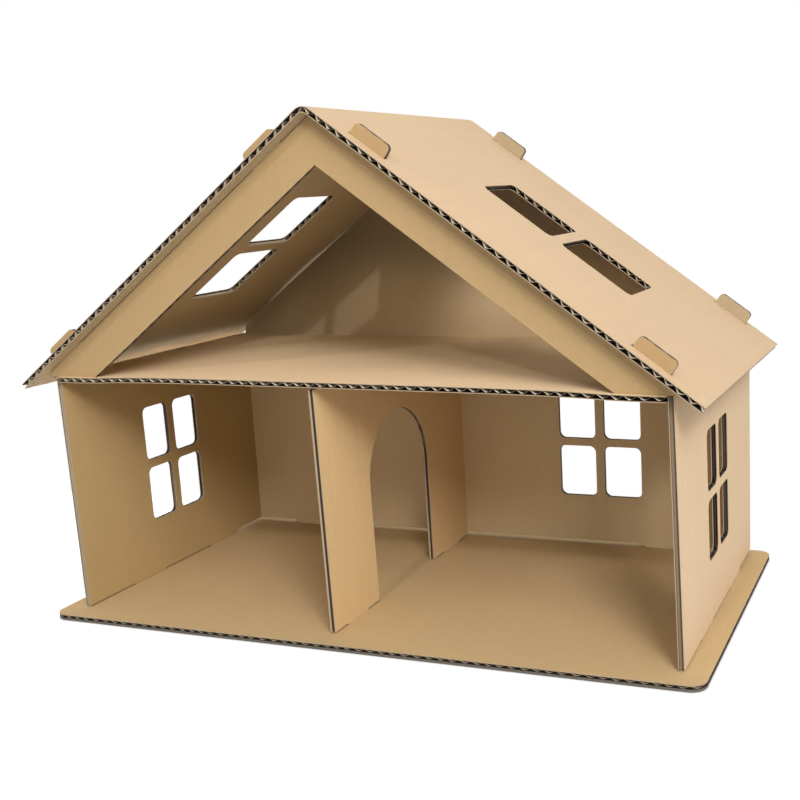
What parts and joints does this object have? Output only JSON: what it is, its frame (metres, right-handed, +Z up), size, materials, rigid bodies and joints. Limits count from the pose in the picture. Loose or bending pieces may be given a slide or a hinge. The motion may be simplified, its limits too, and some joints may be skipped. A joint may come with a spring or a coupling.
{
  "type": "toy house",
  "caption": "Open-fronted toy house slotted together from corrugated cardboard, with arched doorway, barred windows, attic floor and folded gable roof",
  "frame": {"origin": "centre of the bounding box on the surface the base plate rests on", "axes": "+X to the right as seen from the open front, +Y to the back along the ridge, +Z up"},
  "size_m": [0.3814, 0.2052, 0.2727],
  "materials": {
    "kraft_board": "matte"
  },
  "bodies": {
    "root": {"base_plate": "kraft_board", "left_wall": "kraft_board", "right_wall": "kraft_board", "back_wall": "kraft_board", "partition_wall": "kraft_board", "attic_floor": "kraft_board", "front_gable_frame": "kraft_board", "roof": "kraft_board"}
  },
  "joints": []
}
